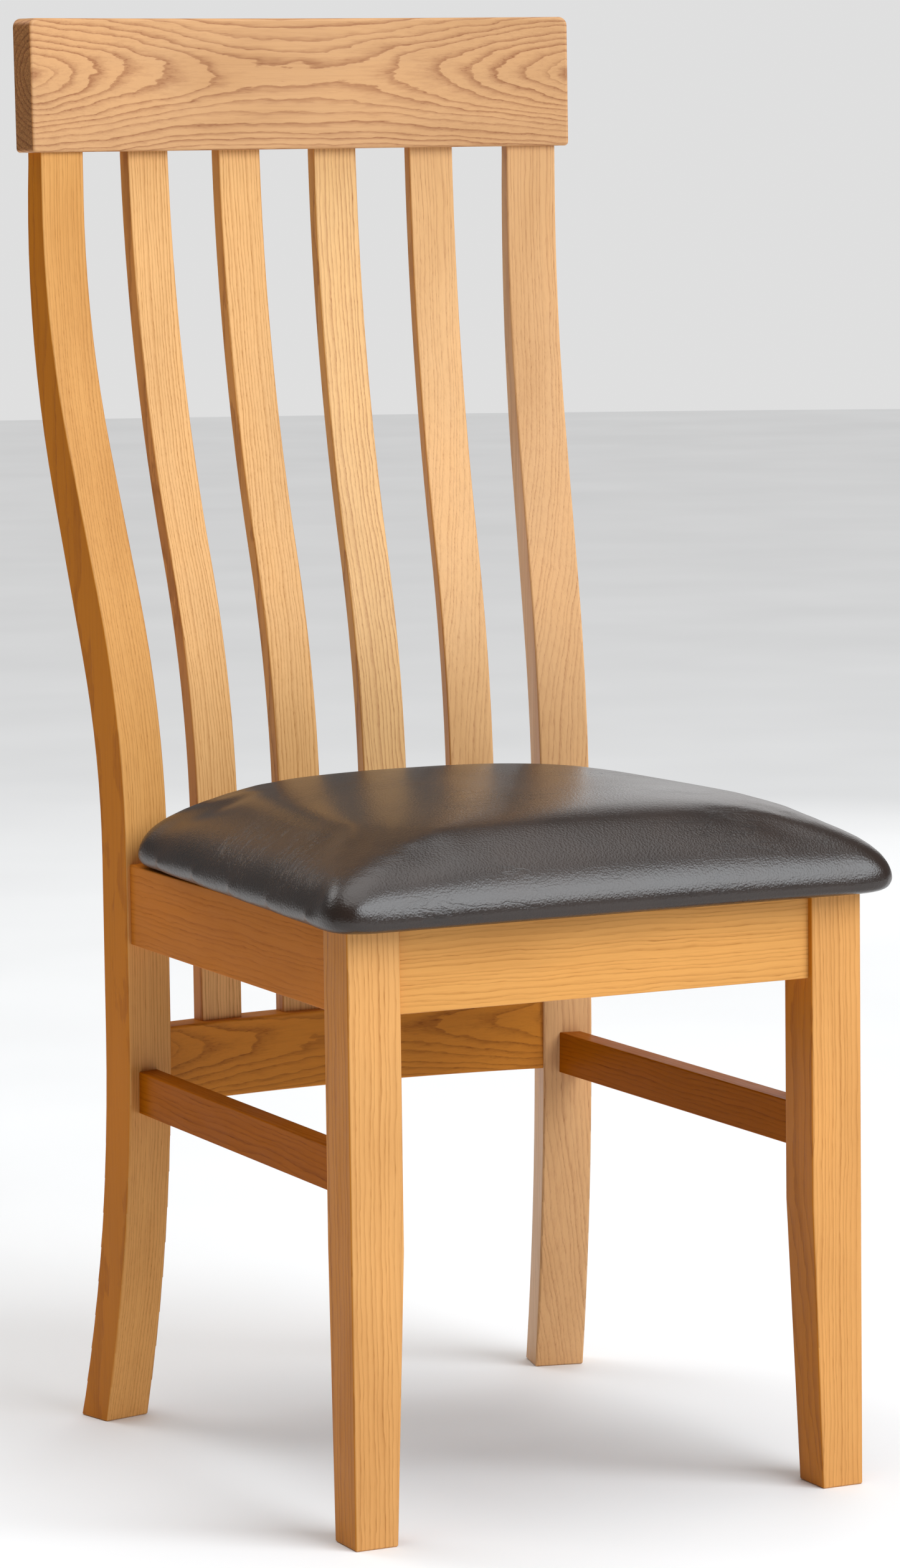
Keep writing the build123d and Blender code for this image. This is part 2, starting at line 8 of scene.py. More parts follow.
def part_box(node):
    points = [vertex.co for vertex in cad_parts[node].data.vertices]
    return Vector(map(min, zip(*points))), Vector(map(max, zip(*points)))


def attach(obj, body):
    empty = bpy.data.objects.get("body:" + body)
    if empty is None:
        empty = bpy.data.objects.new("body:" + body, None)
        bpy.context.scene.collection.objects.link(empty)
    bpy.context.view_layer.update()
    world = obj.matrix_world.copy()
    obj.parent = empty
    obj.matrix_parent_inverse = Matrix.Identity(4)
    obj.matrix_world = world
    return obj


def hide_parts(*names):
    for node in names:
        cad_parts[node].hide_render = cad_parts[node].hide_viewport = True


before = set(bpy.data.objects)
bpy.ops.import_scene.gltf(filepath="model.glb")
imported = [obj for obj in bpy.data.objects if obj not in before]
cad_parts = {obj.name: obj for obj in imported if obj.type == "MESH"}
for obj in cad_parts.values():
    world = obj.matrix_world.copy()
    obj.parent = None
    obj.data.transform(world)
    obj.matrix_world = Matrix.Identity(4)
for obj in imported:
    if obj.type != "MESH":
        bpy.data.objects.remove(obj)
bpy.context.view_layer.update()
BODY = "root"
WHITE = (1.0, 1.0, 1.0)


def add_object(name, data):
    """A new object in the scene, made from a mesh, light or camera."""
    item = bpy.data.objects.new(name, data)
    bpy.context.scene.collection.objects.link(item)
    return item


# ---------------------------------------------------------------- camera, as the photograph was taken
IMAGE_HEIGHT, FOCAL_LENGTH = 2517, 8799.9      # pixels
SENSOR_HEIGHT = 36.0                           # millimetres
CAMERA_AT = Vector((-1.6893, -3.4929, 0.9348))
AZIMUTH, ELEVATION, ROLL = radians(-25.84), radians(6.70), radians(-0.742)
FARTHEST_SEEN = 50                             # metres


def make_camera():
    """The camera, turned by its azimuth and elevation and then rolled about its own line of sight."""
    back = Vector((sin(AZIMUTH) * cos(ELEVATION), -cos(AZIMUTH) * cos(ELEVATION), sin(ELEVATION)))
    level_right = Vector((cos(AZIMUTH), sin(AZIMUTH), 0))
    level_up = back.cross(level_right)
    right = cos(ROLL) * level_right + sin(ROLL) * level_up
    up = -sin(ROLL) * level_right + cos(ROLL) * level_up
    data = bpy.data.cameras.new("camera")
    data.sensor_fit = "VERTICAL"
    data.sensor_height = SENSOR_HEIGHT
    data.lens = FOCAL_LENGTH / IMAGE_HEIGHT * SENSOR_HEIGHT
    data.clip_end = FARTHEST_SEEN
    camera = add_object("camera", data)
    camera.matrix_world = Matrix.Translation(CAMERA_AT) @ Matrix((right, up, back)).transposed().to_4x4()
    return camera


bpy.context.scene.camera = make_camera()


# ---------------------------------------------------------------- shader helpers
class Tree:
    """A thin layer over a node tree: each call adds a node, and all but add() return its result."""

    def __init__(self, tree):
        self.nodes = tree.nodes
        self.links = tree.links

    def add(self, kind, *sources, named=None, **settings):
        """Adds a node. Its inputs take sockets or plain values, in order or by name or number."""
        node = self.nodes.new("ShaderNode" + kind)
        for key, value in settings.items():
            setattr(node, key, value)
        for key, source in [*enumerate(sources), *(named or {}).items()]:
            if isinstance(source, bpy.types.NodeSocket):
                self.links.new(source, node.inputs[key])
            else:
                node.inputs[key].default_value = source
        return node

    def math(self, operation, *sources, clamp=False):
        """One number from others."""
        return self.add("Math", *sources, operation=operation, use_clamp=clamp).outputs[0]

    def vector(self, operation, *sources):
        """A vector from others, or a number where the operation gives one."""
        node = self.add("VectorMath", *sources, operation=operation)
        return node.outputs["Value" if operation in ("LENGTH", "DOT_PRODUCT") else "Vector"]

    def scaled(self, vector, factor):
        """A vector times a number."""
        return self.add("VectorMath", vector, operation="SCALE", named={"Scale": factor}).outputs["Vector"]

    def noise(self, vector, cells, detail=2.0, roughness=0.5, colour=False, distortion=0.0):
        """Soft noise with a given number of cells per metre along x, y and z."""
        settings = {"Scale": 1.0, "Detail": detail, "Roughness": roughness, "Distortion": distortion}
        place = self.vector("MULTIPLY", vector, cells)
        node = self.add("TexNoise", named={"Vector": place, **settings})
        return node.outputs["Color" if colour else 0]

    def ramp(self, source, stops):
        """A colour, or a grey, from a number: each stop is a position and the value there."""
        node = self.add("ValToRGB", source)
        elements = node.color_ramp.elements
        while len(elements) < len(stops):
            elements.new(0.5)
        for element, (position, value) in zip(elements, stops):
            element.position = position
            element.color = (*value, 1) if isinstance(value, tuple) else (value, value, value, 1)
        return node.outputs[0]

    def mix(self, factor, first, second, blend="MIX"):
        """Two colours mixed by a factor."""
        colours = {0: factor, 6: first, 7: second}
        return self.add("Mix", data_type="RGBA", blend_type=blend, named=colours).outputs[2]

    def span(self, source, low, high, to_low=0.0, to_high=1.0):
        """A number's range from low to high, spread over another range and held at its ends."""
        return self.add("MapRange", source, low, high, to_low, to_high).outputs[0]


def new_material(name):
    """A material, its Principled shader, the helper for its tree, and the point being shaded."""
    material = bpy.data.materials.new(name)
    material.use_nodes = True
    shader = material.node_tree.nodes["Principled BSDF"]
    tree = Tree(material.node_tree)
    return material, shader, tree, tree.add("TexCoord").outputs["Object"]


def finish_material(tree, shader, colour, roughness, height=None, bump=0.3, distance=0.001, uniform=None):
    """Links a material's varying inputs, and sets its uniform ones on the shader itself."""
    tree.links.new(colour, shader.inputs["Base Color"])
    tree.links.new(roughness, shader.inputs["Roughness"])
    for name, value in (uniform or {}).items():
        shader.inputs[name].default_value = value
    if height is not None:
        node = tree.add("Bump", bump, distance, named={"Height": height})
        tree.links.new(node.outputs[0], shader.inputs["Normal"])


# ---------------------------------------------------------------- ash wood
# noise cells per metre: two across the grain, then along it
DRIFT_CELLS = (7, 7, 6)
PORE_CELLS = (1500, 1500, 70)
FIBRE_CELLS = (520, 520, 11)
BLOTCH_CELLS = (16, 16, 5)
SPECKLE_CELLS = (900, 900, 900)
LACQUER_CELLS = (90, 90, 22)
RING_WAVES = (             # noise cells, the noise's roughness, and how many rings it moves a ring by
    ((60, 60, 17), 0.55, 1.5),
    ((420, 420, 95), 0.5, 0.32),
)
WIDTH_CELLS, WIDTH_WAVE = 0.41, 1.3      # noise along the rings that makes some wide and others narrow
YEAR = (                   # how porous the wood is, from the start of a year's ring to its end
    (0.0, 0.75), (0.06, 1.0), (0.22, 0.55), (0.45, 0.14), (0.75, 0.0), (0.965, 0.03), (1.0, 0.75),
)
BLOTCHES = ((0.30, (0.90, 0.87, 0.83)), (0.5, WHITE), (0.72, (1.07, 1.05, 1.02)))
PORE_FADE = (0.56, 0.70)           # noise values between which a pore comes in
PORES_IN_LATE_WOOD = 0.15
FIBRE_DARKNESS, PORE_DARKNESS = 0.62, 0.45
PAINTED_SIDE_SHADE_FADE = (0.45, 0.9)           # sideways part of a face's normal, between no painted side shade and all of it
END_FADE = (0.75, 0.97)            # part of the normal along the grain, between long grain and end grain
SPECKLE_FADE, SPECKLE_SHADES = (0.35, 0.7), (0.42, 0.72)
LACQUER_FADE, LACQUER_ROUGHNESS = (0.3, 0.75), (0.30, 0.40)
DARK_ROUGHNESS, END_ROUGHNESS = 0.08, 0.12
PORE_HEIGHT, EARLY_HEIGHT, FIBRE_HEIGHT = -0.6, -0.35, 0.25
ASH_BUMP, ASH_BUMP_DISTANCE = 0.22, 0.0006

ASH_INPUTS = {
    "Vector": "Vector", "Axis": "Vector",
    "Spacing": "Float", "Wobble": "Float", "Contrast": "Float",
    "Light": "Color", "Dark": "Color", "Painted Side Shade": "Color",
}
ASH_OUTPUTS = {"Color": "Color", "Roughness": "Float", "Height": "Float"}


def ring_count(tree, place, spacing, wobble):
    """How many rings lie between the pith and a point, counted through rings that wave and wander."""
    drift = tree.noise(place, DRIFT_CELLS, detail=1, colour=True)
    drift = tree.vector("SUBTRACT", drift, (0.5, 0.5, 0.5))
    moved = tree.vector("ADD", place, tree.scaled(drift, wobble))
    radius = tree.vector("LENGTH", tree.vector("MULTIPLY", moved, (1, 1, 0)))
    rings = tree.math("DIVIDE", radius, spacing)
    for cells, roughness, wave in RING_WAVES:
        shift = tree.math("SUBTRACT", tree.noise(place, cells, roughness=roughness), 0.5)
        rings = tree.math("MULTIPLY_ADD", shift, wave, rings)
    along = tree.math("MULTIPLY", rings, WIDTH_CELLS)
    width = tree.add("TexNoise", noise_dimensions="1D", named={"W": along, "Scale": 1.0, "Detail": 1.0})
    return tree.math("MULTIPLY_ADD", width.outputs[0], WIDTH_WAVE, rings)


def early_wood(tree, rings):
    """The porous wood that each ring starts with, from 0 to 1, and stronger in some years."""
    early = tree.ramp(tree.math("FRACT", rings), YEAR)
    year = tree.add("TexWhiteNoise", noise_dimensions="1D", named={"W": tree.math("FLOOR", rings)})
    strength = tree.math("MULTIPLY_ADD", year.outputs[0], 0.5, 0.5)
    return tree.math("MULTIPLY", early, strength)


def make_ash_group():
    """Ash as a solid texture: growth rings about a pith that runs along the vector's own z axis."""
    group = bpy.data.node_groups.new("ash_figure", "ShaderNodeTree")
    for way, sockets in (("INPUT", ASH_INPUTS), ("OUTPUT", ASH_OUTPUTS)):
        for name, kind in sockets.items():
            group.interface.new_socket(name, in_out=way, socket_type="NodeSocket" + kind)
    tree = Tree(group)
    given = group.nodes.new("NodeGroupInput").outputs
    place = given["Vector"]

    # pores crowd into the early wood, and fine fibre streaks run through all of it
    early = early_wood(tree, ring_count(tree, place, given["Spacing"], given["Wobble"]))
    pore = tree.span(tree.noise(place, PORE_CELLS, detail=1), *PORE_FADE)
    crowding = tree.math("MULTIPLY_ADD", early, 1 - PORES_IN_LATE_WOOD, PORES_IN_LATE_WOOD)
    pore = tree.math("MULTIPLY", pore, crowding)
    fibre = tree.math("SUBTRACT", tree.noise(place, FIBRE_CELLS, detail=3, roughness=0.6), 0.5)
    dark = tree.math("MULTIPLY", early, given["Contrast"])
    dark = tree.math("MULTIPLY_ADD", fibre, FIBRE_DARKNESS, dark)
    dark = tree.math("MULTIPLY_ADD", pore, PORE_DARKNESS, dark, clamp=True)
    colour = tree.mix(dark, given["Light"], given["Dark"])
    blotch = tree.ramp(tree.noise(place, BLOTCH_CELLS), BLOTCHES)
    colour = tree.mix(1.0, colour, blotch, "MULTIPLY")

    # faces to either side take a painted shade, darker and deeper in colour, and faces across the grain show
    # speckled end grain
    normal = tree.add("TexCoord").outputs["Normal"]
    sideways = tree.math("ABSOLUTE", tree.add("SeparateXYZ", normal).outputs[0])
    painted_side_shade = tree.mix(tree.span(sideways, *PAINTED_SIDE_SHADE_FADE), (*WHITE, 1), given["Painted Side Shade"])
    colour = tree.mix(1.0, colour, painted_side_shade, "MULTIPLY")
    along = tree.math("ABSOLUTE", tree.vector("DOT_PRODUCT", normal, given["Axis"]))
    end_grain = tree.span(along, *END_FADE)
    speckle = tree.span(tree.noise(place, SPECKLE_CELLS, detail=1), *SPECKLE_FADE, *SPECKLE_SHADES)
    speckle = tree.add("CombineXYZ", speckle, speckle, speckle).outputs[0]
    colour = tree.mix(end_grain, colour, tree.mix(1.0, colour, speckle, "MULTIPLY"))

    # the lacquer is a little duller over dark wood and end grain, and sinks into the pores
    rough = tree.span(tree.noise(place, LACQUER_CELLS), *LACQUER_FADE, *LACQUER_ROUGHNESS)
    rough = tree.math("MULTIPLY_ADD", dark, DARK_ROUGHNESS, rough)
    rough = tree.math("MULTIPLY_ADD", end_grain, END_ROUGHNESS, rough)
    height = tree.math("MULTIPLY_ADD", pore, PORE_HEIGHT, tree.math("MULTIPLY", early, EARLY_HEIGHT))
    height = tree.math("MULTIPLY_ADD", fibre, FIBRE_HEIGHT, height)
    out = group.nodes.new("NodeGroupOutput")
    for name, source in (("Color", colour), ("Roughness", rough), ("Height", height)):
        group.links.new(source, out.inputs[name])
    return group


ASH = make_ash_group()
TURNS = {          # rotation that brings each grain direction onto z
    "x": (0, -pi / 2, 0),
    "y": (pi / 2, 0, 0),
    "z": (0, 0, 0),
}
AXES = {"x": (1, 0, 0), "y": (0, 1, 0), "z": (0, 0, 1)}


def ash(name, grain, pith, spacing, wobble, contrast, tone, tint_and_painted_light, painted_side_shade, shine):
    """Ash for one piece. pith is a point of the rings' centre line; the side shade is painted shade on the
    faces to either side.
    """
    material, shader, tree, place = new_material(name)
    moved = tree.vector("SUBTRACT", place, pith)
    turned = tree.add("Mapping", named={"Vector": moved, "Rotation": TURNS[grain]}).outputs[0]
    # the tint scales both tones, and with them its painted sheen and painted shade
    light, dark = ([c * t for c, t in zip(colour, tint_and_painted_light)] for colour in tone)
    node = tree.add("Group", node_tree=ASH, named={
        "Vector": turned, "Axis": AXES[grain],
        "Spacing": spacing, "Wobble": wobble, "Contrast": contrast,
        "Light": (*light, 1), "Dark": (*dark, 1), "Painted Side Shade": (*painted_side_shade, 1),
    })
    finish_material(tree, shader, node.outputs["Color"], node.outputs["Roughness"], node.outputs["Height"],
                    ASH_BUMP, ASH_BUMP_DISTANCE, {"Specular IOR Level": shine})
    return material


def centre(node):
    """The middle of a CAD node's box."""
    low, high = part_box(node)
    return (Vector(low) + Vector(high)) / 2


def paint(node, material):
    """Gives a CAD node its material through its material slots."""
    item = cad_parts[node]
    if not item.material_slots:
        item.data.materials.append(None)
    for slot in item.material_slots:
        slot.link = "OBJECT"
        slot.material = material


# the wood's own light and dark colours
HONEY = ((0.68, 0.32, 0.083), (0.38, 0.14, 0.024))
PALE = ((0.64, 0.33, 0.118), (0.34, 0.13, 0.042))
AMBER = ((0.50, 0.18, 0.020), (0.22, 0.062, 0.006))

# grain, pith from the piece's middle, ring spacing, wobble, contrast, tone, and the tint laid over it; the
# tint also paints light: raised, bluer tints paint sheen and light on the slats, posts, crest and lower back
# rail, and low, deep tints paint shade on the side rails and stretchers
WOODS = {
    "crest_rail": ("x", (0.0, -0.0345, 0.008), 0.0041, 0.011, 0.86, PALE, (0.96, 1.03, 1.36)),
    "lower_back_rail": ("x", (0.12, -0.030, 0.010), 0.0042, 0.010, 0.62, AMBER, (1.20, 1.24, 1.30)),
    "front_seat_rail": ("x", (0.0, -0.060, -0.10), 0.0032, 0.006, 0.50, HONEY, (1.03, 1.04, 1.08)),
    "rear_seat_rail": ("x", (0.0, 0.060, 0.050), 0.0036, 0.006, 0.5, PALE, (0.9, 0.9, 0.9)),
    "left_seat_rail": ("y", (0.07, 0.0, 0.09), 0.0034, 0.006, 0.40, HONEY, (0.78, 0.53, 0.24)),
    "right_seat_rail": ("y", (-0.07, 0.0, 0.07), 0.0034, 0.006, 0.40, HONEY, (0.78, 0.53, 0.24)),
    "left_stretcher": ("y", (0.05, 0.0, -0.05), 0.0030, 0.005, 0.42, AMBER, (0.73, 0.53, 0.07)),
    "right_stretcher": ("y", (-0.05, 0.0, 0.06), 0.0030, 0.005, 0.42, AMBER, (0.75, 0.57, 0.08)),
    "front_leg_left": ("z", (0.090, 0.060, 0.0), 0.0028, 0.006, 0.58, HONEY, (1.03, 1.10, 1.42)),
    "front_leg_right": ("z", (0.110, 0.030, 0.0), 0.0028, 0.006, 0.58, HONEY, (1.0, 1.02, 1.2)),
    "rear_leg_left": ("z", (0.220, 0.020, 0.0), 0.0025, 0.006, 0.55, HONEY, (1.0, 1.05, 1.25)),
    "rear_leg_right": ("z", (-0.080, 0.060, 0.0), 0.0030, 0.006, 0.42, PALE, (1.07, 1.17, 1.50)),
    "back_slat_outer_left": ("z", (0.200, 0.020, 0.0), 0.0026, 0.006, 0.70, HONEY, (1.12, 1.31, 2.0)),
    "back_slat_inner_left": ("z", (-0.220, 0.0, 0.0), 0.0028, 0.006, 0.66, HONEY, (1.08, 1.27, 1.95)),
    "back_slat_inner_right": ("z", (0.240, 0.0, 0.0), 0.0031, 0.006, 0.72, PALE, (1.20, 1.38, 1.66)),
    "back_slat_outer_right": ("z", (-0.090, 0.050, 0.0), 0.0030, 0.006, 0.42, PALE, (1.17, 1.30, 1.62)),
    "corner_block_front_left": ("x", (0.0, 0.05, 0.03), 0.0035, 0.005, 0.5, PALE, (0.85, 0.85, 0.85)),
    "corner_block_front_right": ("x", (0.0, 0.04, 0.04), 0.0035, 0.005, 0.5, PALE, (0.88, 0.86, 0.84)),
    "corner_block_rear_left": ("x", (0.0, 0.05, -0.03), 0.0035, 0.005, 0.5, PALE, (0.84, 0.84, 0.84)),
    "corner_block_rear_right": ("x", (0.0, 0.06, 0.03), 0.0035, 0.005, 0.5, PALE, (0.86, 0.86, 0.86)),
}
PAINTED_SIDE_SHADES = {         # painted shade on the faces to either side, darker and deeper in colour, by the start of a node's name
    "front_leg": (0.80, 0.56, 0.10),
    "rear_leg_left": (0.77, 0.50, 0.05),
    "crest_rail": (0.92, 0.72, 0.50),
    "back_slat": (0.80, 0.62, 0.36),
}
SHINE, SIDE_PIECE_SHINE = 0.13, 0.02

for node, (grain, offset, spacing, wobble, contrast, tone, tint_and_painted_light) in WOODS.items():
    pith = centre(node) + Vector(offset)
    # the piece's painted shade for its side faces, or none
    painted_side_shade = next((value for start, value in PAINTED_SIDE_SHADES.items() if node.startswith(start)), WHITE)
    shine = SIDE_PIECE_SHINE if grain == "y" else SHINE
    paint(node, ash("ash_" + node, grain, pith, spacing, wobble, contrast, tone, tint_and_painted_light, painted_side_shade, shine))

# ---------------------------------------------------------------- board, metal and dust cloth
NOISE_RANGE = (0.2, 0.8)           # where nearly all of a noise's values lie
PLY = 0.0012                       # thickness of one ply
PLYWOOD_CELLS, PLYWOOD_ROUGHNESS = (20, 500, 300), (0.6, 0.8)
PLYWOOD_COLOURS = ((0.3, (0.36, 0.22, 0.10)), (0.7, (0.60, 0.42, 0.22)))
GLUE_COLOUR, GLUE_STRENGTH = (0.30, 0.17, 0.07, 1), 0.4
ZINC_CELLS, ZINC_ROUGHNESS = (500, 500, 500), (0.25, 0.5)
ZINC_COLOURS = ((0.3, (0.42, 0.42, 0.40)), (0.7, (0.66, 0.65, 0.60)))
WEB_CELLS, DUST_CLOTH_ROUGHNESS = (1400, 1400, 1400), (0.75, 0.95)
DUST_CLOTH_COLOURS = ((0.3, (0.012, 0.012, 0.013)), (0.75, (0.04, 0.04, 0.042)))
DUST_CLOTH_DOTS = 900.0            # pressed dots per metre


def make_plywood():
    """Plywood: fibre streaks that run along x, over plies that lie flat."""
    material, shader, tree, place = new_material("plywood")
    height = tree.add("SeparateXYZ", place).outputs[2]
    layer = tree.span(tree.math("PINGPONG", height, PLY), 0.0, PLY)
    fibre = tree.noise(place, PLYWOOD_CELLS, detail=3)
    colour = tree.ramp(fibre, PLYWOOD_COLOURS)
    colour = tree.mix(tree.math("MULTIPLY", layer, GLUE_STRENGTH), colour, GLUE_COLOUR)
    rough = tree.span(fibre, *NOISE_RANGE, *PLYWOOD_ROUGHNESS)
    finish_material(tree, shader, colour, rough, fibre)
    return material


def make_zinc():
    """Zinc-plated steel with a cloudy shine."""
    material, shader, tree, place = new_material("zinc_plate")
    cloud = tree.noise(place, ZINC_CELLS, detail=3)
    colour = tree.ramp(cloud, ZINC_COLOURS)
    rough = tree.span(cloud, *NOISE_RANGE, *ZINC_ROUGHNESS)
    finish_material(tree, shader, colour, rough, cloud, bump=0.1, uniform={"Metallic": 1.0})
    return material


def make_dust_cloth():
    """Black non-woven cloth: a web of fibres, pressed together in dots."""
    material, shader, tree, place = new_material("dust_cloth")
    dots = tree.add("TexVoronoi", named={"Vector": place, "Scale": DUST_CLOTH_DOTS}).outputs["Distance"]
    web = tree.noise(place, WEB_CELLS, detail=3)
    colour = tree.ramp(web, DUST_CLOTH_COLOURS)
    rough = tree.span(web, *NOISE_RANGE, *DUST_CLOTH_ROUGHNESS)
    finish_material(tree, shader, colour, rough, dots, bump=0.5, distance=0.0005,
                    uniform={"Sheen Weight": 0.3})
    return material


paint("seat_board", make_plywood())
paint("seat_dust_cloth", make_dust_cloth())
zinc = make_zinc()
for node in ("corner_block_screws", "seat_screws", "dust_cloth_staples"):
    paint(node, zinc)

# ---------------------------------------------------------------- leatherette
LEATHER_CELLS, LEATHER_ROUGHNESS = (14, 14, 14), (0.30, 0.35)
LEATHER_COLOURS = ((0.3, (0.0135, 0.0068, 0.0043)), (0.7, (0.0260, 0.0138, 0.0088)))
PEBBLES = 620.0                    # grain cells per metre
WARP_CELLS, WARP = (260, 260, 260), 0.0009         # what keeps the grain cells from being even
PEBBLE_EDGE = (0.05, 0.75)         # distances over which a pebble falls away from its middle
PEBBLE_GLOSS = -0.05               # change of roughness on top of a pebble
WRINKLE_CELLS = (26, 120, 60)
CREASE_WIDTH = 0.035               # as a part of the wrinkle noise's range
CREASED_CELLS, CREASED_FADE = (9, 12, 12), (0.48, 0.62)      # the patches that have creases
# painted shade in the creases: its colour and strength, then how deep the creases sink
PAINTED_CREASE_SHADE, CREASE_SHADE_STRENGTH, CREASE_HEIGHT = (0.008, 0.005, 0.004, 1), 0.5, -1.4


def make_leather():
    """Dark brown leatherette: pebble grain, faint creases that run across with painted shade in them, and a
    soft shine.
    """
    material, shader, tree, place = new_material("dark_brown_leatherette")
    warp = tree.scaled(tree.noise(place, WARP_CELLS, colour=True), WARP)
    bent = tree.vector("ADD", place, warp)
    cells = tree.add("TexVoronoi", feature="F1", named={"Vector": bent, "Scale": PEBBLES})
    pebble = tree.span(cells.outputs["Distance"], *PEBBLE_EDGE, 1.0, 0.0)
    wrinkle = tree.noise(place, WRINKLE_CELLS, detail=4, roughness=0.55, distortion=0.4)
    crease = tree.math("ABSOLUTE", tree.math("SUBTRACT", wrinkle, 0.5))
    crease = tree.span(crease, 0.0, CREASE_WIDTH, 1.0, 0.0)
    creased = tree.span(tree.noise(place, CREASED_CELLS), *CREASED_FADE)
    crease = tree.math("MULTIPLY", crease, creased)
    cloud = tree.noise(place, LEATHER_CELLS, detail=3)
    colour = tree.ramp(cloud, LEATHER_COLOURS)
    # painted shade: the creases are darkened in colour
    colour = tree.mix(tree.math("MULTIPLY", crease, CREASE_SHADE_STRENGTH), colour, PAINTED_CREASE_SHADE)
    rough = tree.span(cloud, 0.25, 0.75, *LEATHER_ROUGHNESS)
    rough = tree.math("MULTIPLY_ADD", pebble, PEBBLE_GLOSS, rough)
    height = tree.math("MULTIPLY_ADD", crease, CREASE_HEIGHT, pebble)
    finish_material(tree, shader, colour, rough, height, bump=0.28, distance=0.0004,
                    uniform={"Coat Weight": 0.10, "Coat Roughness": 0.24})
    return material


# ---------------------------------------------------------------- seat cushion
PAD_LOW, PAD_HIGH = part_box("seat_cover")
PAD_FRONT, PAD_REAR = round(PAD_LOW[1], 4), round(PAD_HIGH[1], 4)      # to a tenth of a millimetre
RAIL_TOP = PAD_LOW[2]
PAD_FRONT_HALF, PAD_REAR_HALF = 0.2145, 0.190      # half widths, to where the pad's edges would meet
PAD_FRONT_CORNER, PAD_REAR_CORNER = 0.024, 0.030
CORNER_GROWTH = 0.6                 # how much a corner's radius grows per metre of inset
CORNER_STEPS, SIDE_STEPS = 12, 24
UNDERSIDE_INSETS = (0.14, 0.10, 0.06, 0.03, 0.018)
TUCK_HIGH, TUCK_DEEP, TUCK_STEP = 0.008, 0.009, 15     # where the edge turns under; its step in degrees
ROLL_HIGH, ROLL_DEEP, ROLL_STEPS = 0.041, 0.088, 24    # the edge's roll up towards the top
ROLL_TURN, ROLL_FULLNESS = 3, 0.455
CROWN_INSETS = (0.10, 0.115, 0.13, 0.145, 0.16, 0.17)
DOME_HIGH = 0.018
DOME_ACROSS, DOME_ALONG = 2.4, 3.4  # the higher the power, the flatter the dome's middle
SPREAD = 0.003                      # what the remesh and the smoothing take off the edge

VOXEL = 0.005
INFLATION = {                       # settings of the cloth simulation
    "quality": 6,
    "mass": 0.4,
    "tension_stiffness": 22,
    "compression_stiffness": 22,
    "bending_stiffness": 2.0,
    "use_pressure": True,
    "uniform_pressure_force": 4.0,
}
SIM_FRAMES = 20
HELD_BELOW = 0.004                  # height over the rails up to which the pad is held
SWELL_CAP = 0.004


def pad_outline(inset):
    """Plan points of the pad's rounded outline, a distance in from its widest line."""
    corners = (            # where two edges would meet, the corner's radius, and where its arc starts
        (-PAD_FRONT_HALF + inset, PAD_FRONT + inset, PAD_FRONT_CORNER, 180),
        (PAD_FRONT_HALF - inset, PAD_FRONT + inset, PAD_FRONT_CORNER, 270),
        (PAD_REAR_HALF - inset, PAD_REAR - inset, PAD_REAR_CORNER, 0),
        (-PAD_REAR_HALF + inset, PAD_REAR - inset, PAD_REAR_CORNER, 90),
    )
    arcs = []
    for x, y, radius, start in corners:
        radius = min(radius + CORNER_GROWTH * max(0.0, inset), PAD_REAR_HALF - inset)
        middle_x = x - radius * (1 if x > 0 else -1)
        middle_y = y + radius * (1 if y < 0 else -1)
        turns = [radians(start + 90 * step / CORNER_STEPS) for step in range(CORNER_STEPS + 1)]
        arcs.append([(middle_x + radius * cos(turn), middle_y + radius * sin(turn)) for turn in turns])
    points = []
    for arc, following in zip(arcs, arcs[1:] + arcs[:1]):
        points += arc
        (from_x, from_y), (to_x, to_y) = arc[-1], following[0]
        for step in range(1, SIDE_STEPS):
            t = step / SIDE_STEPS
            points.append((from_x + t * (to_x - from_x), from_y + t * (to_y - from_y)))
    return points


def dome(x, y):
    """How high the top's gentle dome is at a point of the plan, from 0 at the edge to 1 in the middle."""
    along = (y - PAD_FRONT) / (PAD_REAR - PAD_FRONT)
    half = PAD_FRONT_HALF + along * (PAD_REAR_HALF - PAD_FRONT_HALF)
    return max(0.0, 1 - abs(x / half) ** DOME_ACROSS) * max(0.0, 1 - abs(2 * along - 1) ** DOME_ALONG)


def pad_rows():
    """Inset and rise of each outline, from the underside's middle out, over the edge and onto the top."""
    rows = [(inset, 0.0) for inset in UNDERSIDE_INSETS]
    for angle in range(-90, 0, TUCK_STEP):
        rows.append((TUCK_DEEP * (1 - cos(radians(angle))), TUCK_HIGH * (1 + sin(radians(angle)))))
    for step in range(ROLL_STEPS + 1):
        t = (step / ROLL_STEPS) ** 2
        rows.append((ROLL_DEEP * t, TUCK_HIGH + ROLL_HIGH * (1 - (1 - t) ** ROLL_TURN) ** ROLL_FULLNESS))
    return rows + [(inset, TUCK_HIGH + ROLL_HIGH) for inset in CROWN_INSETS]


def build_pad():
    """The pad's closed start form, skinned over its rows of outlines."""
    bm = bmesh.new()
    rings = []
    for inset, rise in pad_rows():
        ring = []
        for x, y in pad_outline(inset - SPREAD):
            lift = DOME_HIGH * dome(x, y) if rise > TUCK_HIGH else 0.0
            ring.append(bm.verts.new((x, y, RAIL_TOP + rise + lift)))
        rings.append(ring)
    for low, high in zip(rings, rings[1:]):
        for index in range(len(low)):
            other = (index + 1) % len(low)
            bm.faces.new((low[index], low[other], high[other], high[index]))
    bm.faces.new(list(reversed(rings[0])))
    bm.faces.new(rings[-1])
    bmesh.ops.recalc_face_normals(bm, faces=bm.faces)
    mesh = bpy.data.meshes.new("seat_cushion")
    bm.to_mesh(mesh)
    bm.free()
    return add_object("seat_cushion", mesh)


